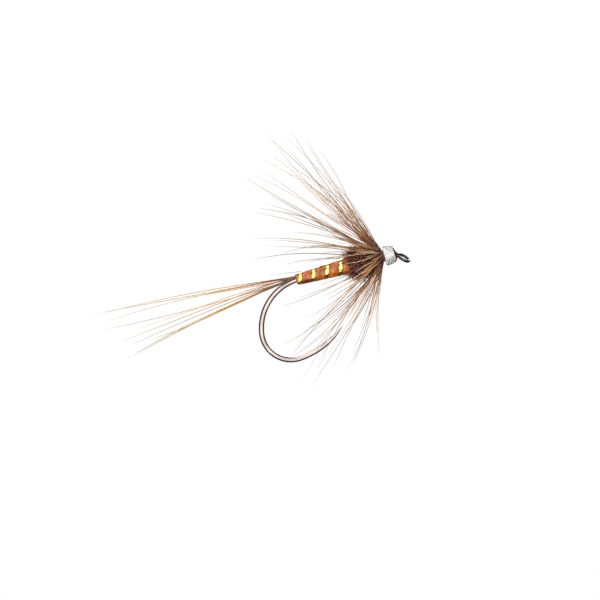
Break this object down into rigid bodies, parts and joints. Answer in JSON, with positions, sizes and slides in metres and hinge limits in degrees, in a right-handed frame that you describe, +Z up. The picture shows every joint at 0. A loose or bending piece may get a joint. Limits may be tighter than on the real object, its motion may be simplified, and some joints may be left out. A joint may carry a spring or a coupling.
{
  "type": "fishing fly",
  "caption": "Artificial trout fly tied on a barbless down-eye hook: long feather tail, gold-ribbed floss body, dark herl thorax, swept-back soft hackle and a varnished thread head.",
  "frame": {"origin": "centre of the hole in the hook's eye", "axes": "+X forward along the shank past the eye, +Z up away from the hook's bend, Y across the hook's plane"},
  "size_m": [0.0255, 0.0144, 0.0207],
  "materials": {
    "hook_wire": "dark bronze plating over high-carbon steel wire, glossy",
    "tail_fibre": "natural brown-to-ginger feather barbs, satin",
    "thread": "waxed tying thread, satin",
    "floss": "orange-brown rayon floss, glossy",
    "tinsel": "flat gold metallised tinsel, polished",
    "thorax_dubbing": "dark dubbed fur, matte",
    "herl": "dark purple-brown feather herl, satin with fine flue",
    "hackle_fibre": "brown hackle barbs fading to pale tips, satin",
    "hackle_quill": "horn-like feather stem, semi-gloss",
    "head_silk": "pale silver-grey tying thread, satin",
    "varnish": "clear head varnish, glossy"
  },
  "bodies": {
    "root": {"hook": "hook_wire", "thread_base": "thread", "tail_barb_01": "tail_fibre", "tail_barb_02": "tail_fibre", "tail_barb_03": "tail_fibre", "tail_barb_04": "tail_fibre", "tail_barb_05": "tail_fibre", "tail_barb_06": "tail_fibre", "tail_barb_07": "tail_fibre", "tail_barb_08": "tail_fibre", "tail_barb_09": "tail_fibre", "tail_barb_10": "tail_fibre", "tail_barb_11": "tail_fibre", "tail_barb_12": "tail_fibre", "tail_lashing": "thread", "tinsel_tag": "tinsel", "underbody": "thread", "body_floss": "floss", "rib_tinsel": "tinsel", "thorax_core": "thorax_dubbing", "thorax_herl": "herl", "hackle_collar": "thread", "hackle_stem": "hackle_quill", "hackle_barbs_turn_1": "hackle_fibre", "hackle_barbs_turn_2": "hackle_fibre", "hackle_barbs_turn_3": "hackle_fibre", "hackle_tie_down": "thread", "head_thread": "head_silk", "head_varnish": "varnish"}
  },
  "joints": []
}
